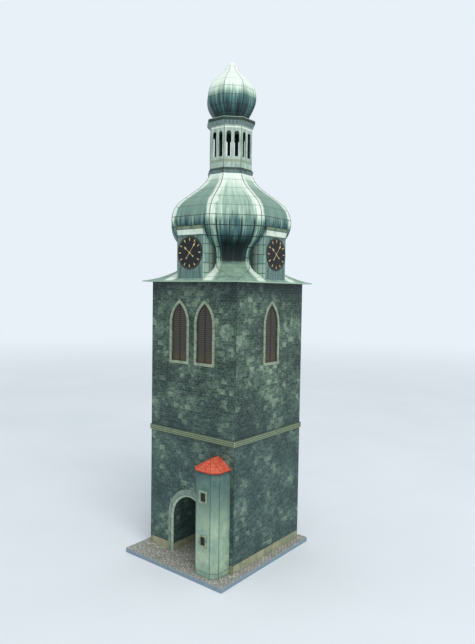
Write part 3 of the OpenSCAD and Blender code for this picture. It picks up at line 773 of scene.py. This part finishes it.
def dormer_sheets(sheet, spot):
    """Face where the point is at the front of its dormer, and cheek behind it, with painted shade
    deep in the cheeks and under the hood.
    """
    up = sheet.calc("SUBTRACT", spot["Height"], shaft_top)
    runs = sheet.mottle(sheet.place(sheet.calc("MULTIPLY", spot["Corner"], 1.1),
                                    sheet.calc("MULTIPLY", up, 0.1), spot["Reach"]),
                        1.0, 3.0, 0.6)
    face = sheet.shades(runs, [(0.3, ink("36514f")), (0.72, ink("7f9a90"))])
    panels = sheet.add("TexBrick", {
        "Vector": sheet.place(sheet.calc("ADD", spot["Reach"], 0.9), up), "Scale": 1.0,
        "Color1": ink("7fa399"), "Color2": ink("b6ccb6"), "Mortar": ink("1d3a35"),
        "Mortar Size": 0.16, "Mortar Smooth": 0.4, "Brick Width": 2.9, "Row Height": 4.1},
        offset=0.0)
    # Painted shade on the cheeks, deepening towards the dome.
    deep = sheet.fade(spot["Reach"], dormer_face - 1.0, dormer_face - 7.5, 0.0, 0.9)
    cheek = sheet.blend(deep, panels.outputs["Color"], ink("14292c"))
    low = sheet.fade(up, 2.2, 1.2, 0.0, 0.7)
    cheek = sheet.blend(low, cheek, ink("cfdfcb"))
    front = sheet.fade(spot["Reach"], dormer_face, dormer_face + 0.1)
    colour = sheet.blend(front, cheek, face)
    # Painted shade under the hood.
    top = sheet.fade(up, dormer_height - 1.2, dormer_height, 0.0, 0.6)
    return sheet.blend(top, colour, ink("1b302d")), panels.outputs["Fac"]


def hood_bands(sheet, spot):
    """Near-white lower band, a dark line, and an olive-green band above it."""
    up = sheet.calc("SUBTRACT", spot["Height"], hood_foot)
    cloud = sheet.mottle(spot["Point"], 0.4, 4.0)
    pale = sheet.shades(cloud, [(0.3, ink("b9d0ba")), (0.7, ink("edf4e6"))])
    olive = sheet.shades(cloud, [(0.3, ink("4c6350")), (0.7, ink("8b9c7d"))])
    colour = sheet.blend(sheet.fade(up, hood_line - 0.05, hood_line + 0.1), pale, olive)
    line = sheet.calc("MAXIMUM", sheet.line(up, 0.3, hood_line),
                      sheet.fade(up, 3.5, 3.75))
    ends = sheet.fade(spot["Corner"], 7.2, 7.9)
    dark = sheet.calc("MAXIMUM", line, ends)
    return sheet.blend(sheet.calc("MULTIPLY", dark, 0.75), colour, ink("203832")), line


cover(finish_print("dormer print", dormer_sheets, 0.4, 0.4, 0.04),
      "dormer_front", "dormer_right", "dormer_back", "dormer_left")
cover(finish_print("hood print", hood_bands, 0.38, 0.3, 0.04), "dormer_hoods")


# ---- Clock dials ----
# Black round cards with a gold mark at each hour. The hands are printed in gold: a long one
# just past the hour mark and a short one, both with a leaf and a tail.

dial_middle = 135.8
minute_ring = 6.75


def dial_black(sheet, spot):
    """Black ink with a faint ring for the minutes."""
    up = sheet.calc("SUBTRACT", spot["Height"], dial_middle)
    out = sheet.far(up, spot["Corner"])
    cloud = sheet.mottle(spot["Point"], 0.8, 4.0)
    colour = sheet.shades(cloud, [(0.3, ink("090a0d")), (0.7, ink("181b20"))])
    ring = sheet.line(out, 0.16, minute_ring)
    return sheet.blend(sheet.calc("MULTIPLY", ring, 0.45), colour, ink("8d7f4c")), ring


def gold_ink(sheet, spot):
    """Flat gold ink that is a little rubbed."""
    cloud = sheet.mottle(spot["Point"], 1.6, 4.0)
    return sheet.shades(cloud, [(0.3, ink("a48f55")), (0.7, ink("dccb8f"))]), cloud


cover(finish_print("dial print", dial_black, 0.3, 0.4, 0.03), "clock_dials")
gold_print = finish_print("gold print", gold_ink, 0.35, 0.4, 0.03)


def flat_shape(outline, turn, near, far):
    """A flat card shape: its outline, turned clockwise round the dial's middle by turn, is
    carried from the depth near to the depth far in front of the dial."""
    outline = np.asarray(outline, float)
    c, s = math.cos(turn), math.sin(turn)
    x = outline[:, 0] * c + outline[:, 1] * s
    z = outline[:, 1] * c - outline[:, 0] * s
    count = len(outline)
    rings = [np.stack([x, np.full(count, -depth), z + dial_middle], 1)
             for depth in (near, far)]
    i = np.arange(count)
    k = (i + 1) % count
    sides = np.stack([i, k, k + count, i + count], 1).tolist()
    return np.vstack(rings), sides + [i[::-1].tolist(), (i + count).tolist()]


def hand_outline(length, tail, width, leaf_at, leaf):
    """Half-width of a hand along its length: a taper from width to a point, plus a leaf,
    leaf * exp(-((s - leaf_at) / 0.55)^2), and a small disc where the tail ends."""
    s = np.linspace(-tail, length, 48)
    half = width * (1 - 0.75 * np.clip(s, 0, None) / length)
    half += leaf * np.exp(-((s - leaf_at) / 0.55) ** 2)
    half += 0.28 * np.exp(-((s + tail - 0.35) / 0.3) ** 2)
    half += 0.22 * np.exp(-(s / 0.35) ** 2)
    half[0] = half[-1] = 0.03
    return np.concatenate([np.stack([half, s], 1), np.stack([-half, s], 1)[::-1]])


dial_front = -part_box("clock_dials")[0].y * 1000
hour_mark = [[-0.2, 5.15], [0.2, 5.15], [0.28, 6.3], [-0.28, 6.3]]
long_hand = hand_outline(5.7, 3.4, 0.11, 4.2, 0.42)
short_hand = hand_outline(4.3, 2.9, 0.12, 3.2, 0.42)
marks = [flat_shape(hour_mark, math.radians(30 * i), dial_front - 0.05, dial_front + 0.04)
         for i in range(12)]
hands = [flat_shape(long_hand, math.radians(38), dial_front - 0.05, dial_front + 0.07),
         flat_shape(short_hand, math.radians(308), dial_front - 0.05, dial_front + 0.06)]
for quarter, side_name in enumerate(["front", "right", "back", "left"]):
    c, s = round(math.cos(quarter * math.pi / 2)), round(math.sin(quarter * math.pi / 2))
    turned = np.array([[c, -s, 0], [s, c, 0], [0, 0, 1]])
    for label, shapes in (("hour_marks_", marks), ("clock_hands_", hands)):
        put_together(label + side_name, [(points @ turned.T, faces) for points, faces in shapes],
                     gold_print)


# ---- Lantern ----
# An eight-sided card drum with two round-headed openings in each face, on a dark base ring
# and under a dark cornice. Olive lines mark its corners and a band its parapet.

lantern_foot = 175.2
lantern_top = 194.4
cornice_top = 197.4


def streaks(sheet, spot, turn, radius, scale):
    """Upright runs round an eight-sided drum of about that radius."""
    around = sheet.calc("MULTIPLY", turn, radius)
    drawn_out = sheet.place(around, sheet.calc("MULTIPLY", spot["Height"], 0.2))
    return sheet.mottle(drawn_out, scale, 3.0, 0.6)


def lantern_card(sheet, spot):
    """Pale mint-grey with olive corner lines, a light line over the openings, a band, and painted
    shade under the cornice.
    """
    turn, reach, rib = octant(sheet, spot)
    runs = streaks(sheet, spot, turn, 10.0, 0.9)
    colour = sheet.shades(runs, [(0.3, ink("7f978a")), (0.72, ink("c0d0c0"))])
    band = sheet.line(spot["Height"], 1.1, lantern_foot + 3.0)
    colour = sheet.blend(sheet.calc("MULTIPLY", band, 0.6), colour, ink("7d8a66"))
    bright = sheet.line(spot["Height"], 0.5, lantern_top - 1.3)
    colour = sheet.blend(sheet.calc("MULTIPLY", bright, 0.8), colour, ink("eef4ea"))
    corner = sheet.fade(rib, 0.34, 0.12, 0.0, 0.75)
    colour = sheet.blend(corner, colour, ink("646b4c"))
    # Painted shade under the cornice.
    top = sheet.fade(spot["Height"], lantern_top - 0.8, lantern_top, 0.0, 0.6)
    colour = sheet.blend(top, colour, ink("31463f"))
    inner = sheet.fade(reach, 9.3, 9.0)
    return sheet.blend(inner, colour, ink("1a2422")), runs


def base_card(sheet, spot):
    """Dark green upper slope over a slate underside with runs."""
    turn, _, rib = octant(sheet, spot)
    runs = streaks(sheet, spot, turn, 11.0, 1.1)
    under = sheet.shades(runs, [(0.3, ink("33474a")), (0.72, ink("8ba09c"))])
    upper = sheet.shades(runs, [(0.3, ink("1a2c27")), (0.72, ink("3f574b"))])
    slope = sheet.fade(spot["Height"], dome_top + 1.3, dome_top + 1.5)
    colour = sheet.blend(slope, under, upper)
    corner = sheet.fade(rib, 0.3, 0.1, 0.0, 0.5)
    return sheet.blend(corner, colour, ink("141f1c")), runs


def cornice_card(sheet, spot):
    """Slate underside, dark green upright band, and a thin bright rim under a pale top."""
    turn, _, _ = octant(sheet, spot)
    runs = streaks(sheet, spot, turn, 11.0, 1.1)
    under = sheet.shades(runs, [(0.3, ink("4a5f60")), (0.72, ink("94a8a2"))])
    band = sheet.shades(runs, [(0.3, ink("16271f")), (0.72, ink("32493c"))])
    upright = sheet.fade(spot["Height"], lantern_top + 1.3, lantern_top + 1.5)
    colour = sheet.blend(upright, under, band)
    rim = sheet.fade(spot["Height"], cornice_top - 0.35, cornice_top - 0.2)
    return sheet.blend(sheet.calc("MULTIPLY", rim, 0.8), colour, ink("9db3a2")), runs


cover(finish_print("lantern print", lantern_card, 0.4, 0.35, 0.04), "lantern_wall")
cover(finish_print("lantern base print", base_card, 0.4, 0.4, 0.04), "lantern_base")
cover(finish_print("cornice print", cornice_card, 0.4, 0.4, 0.04), "lantern_cornice")


# ---- Upper onion ----
# Eight small gores drawn up to a blunt spike, printed as the same old copper: white above,
# mint with green runs at the belly, and nearly black at the foot.

def onion_copper(sheet, spot):
    """Age by height above the cornice, with level seams and dark lines along the ribs."""
    up = sheet.calc("SUBTRACT", spot["Height"], cornice_top)
    turn, _, rib = octant(sheet, spot)
    age = sheet.shades(sheet.calc("DIVIDE", up, 27.0), [
        (0.0, grey(0.85)), (1.0, grey(0.0)), (0.2, grey(0.72)), (0.33, grey(0.56)),
        (0.46, grey(0.2)), (0.6, grey(0.02))])
    around = sheet.calc("MULTIPLY", turn, 11.0)
    copper = sheet.group(patina, {"Across": around, "Height": up, "Age": age,
                                  "Runs": sheet.fade(up, 9.0, 17.0, 1.2, 0.35)})
    level = sheet.calc("MULTIPLY", seams(sheet, up, 3.9, 0.25),
                       sheet.fade(up, 20.0, 8.0, 0.3, 0.7))
    corner = sheet.fade(rib, 0.3, 0.1, 0.0, 1.0)
    corner = sheet.calc("MULTIPLY", corner, sheet.fade(up, 21.0, 9.0, 0.5, 0.85))
    corner = sheet.calc("MULTIPLY", corner, sheet.fade(up, 26.2, 24.5))
    lines = sheet.calc("MAXIMUM", level, corner)
    return sheet.blend(lines, copper.outputs[0], ink("142a25")), lines


cover(finish_print("onion copper print", onion_copper, 0.32, 0.25, 0.03), "upper_onion")


# ---- Floor, light and camera ----
# A plain pale floor under soft studio light, with the camera a little above the clock and
# to the right of the front.

def studio():
    """A wide pale floor, one large key lamp at the right and a plain world."""
    span = 3.0
    mesh = bpy.data.meshes.new("floor")
    mesh.from_pydata([(-span, -span, 0), (span, -span, 0), (span, span, 0), (-span, span, 0)],
                     [], [(0, 1, 2, 3)])
    floor = bpy.data.objects.new("floor", mesh)
    scene.collection.objects.link(floor)
    paper = bpy.data.materials.new("floor paper")
    paper.use_nodes = True
    sheet = Print(paper.node_tree)
    spot = sheet.add("TexCoord").outputs["Object"]
    cloud = sheet.mottle(spot, 9.0, 3.0)
    tint = sheet.shades(cloud, [(0.3, ink("dfe3e4")), (0.7, ink("e6e9ea"))])
    shader = paper.node_tree.nodes["Principled BSDF"]
    paper.node_tree.links.new(tint, shader.inputs["Base Color"])
    shader.inputs["Roughness"].default_value = 0.9
    distance = sheet.add("VectorMath", {0: spot}, operation="LENGTH").outputs["Value"]
    seen = sheet.add("LightPath").outputs["Is Camera Ray"]
    far = sheet.calc("MULTIPLY", sheet.fade(distance, 0.2, 1.3), seen)
    haze = sheet.add("Emission", {"Color": (0.81, 0.87, 0.94, 1.0), "Strength": 1.0})
    both = sheet.add("MixShader", {0: far, 1: shader.outputs[0], 2: haze.outputs[0]})
    surface = paper.node_tree.nodes["Material Output"].inputs["Surface"]
    paper.node_tree.links.new(both.outputs[0], surface)
    mesh.materials.append(paper)

    key = bpy.data.lights.new("key", "AREA")
    key.energy = 4.2
    key.size = 0.5
    lamp = bpy.data.objects.new("key", key)
    lamp.location = (0.55, -0.3, 0.8)
    aim = Vector((0.0, 0.0, 0.11)) - lamp.location
    lamp.rotation_euler = aim.to_track_quat("-Z", "Y").to_euler()
    scene.collection.objects.link(lamp)

    world = bpy.data.worlds.new("studio")
    world.use_nodes = True
    scene.world = world
    sky = Print(world.node_tree)
    background = world.node_tree.nodes["Background"]
    background.inputs["Color"].default_value = (0.86, 0.93, 1.0, 1.0)
    rays = sky.add("LightPath").outputs
    seen = sky.calc("MAXIMUM", rays["Is Camera Ray"], rays["Is Transmission Ray"])
    strength = sky.calc("MULTIPLY_ADD", seen, 0.12, 0.82)
    world.node_tree.links.new(strength, background.inputs["Strength"])


def camera():
    """Set by its heading, its downward tilt and a slight roll."""
    lens = bpy.data.cameras.new("camera")
    lens.sensor_width = 36.0
    lens.lens = 32.33
    lens.clip_start = 0.01
    view = bpy.data.objects.new("camera", lens)
    view.location = (0.17354, -0.21073, 0.12121)
    heading = Matrix.Rotation(math.radians(38.54), 3, "Z")
    tilt = Matrix.Rotation(math.radians(90 - 3.0), 3, "X")
    roll = Matrix.Rotation(math.radians(0.89), 3, "Z")
    view.rotation_euler = (heading @ tilt @ roll).to_euler()
    scene.collection.objects.link(view)
    scene.camera = view
    return view


studio()
camera()
scene.view_settings.view_transform = "Standard"
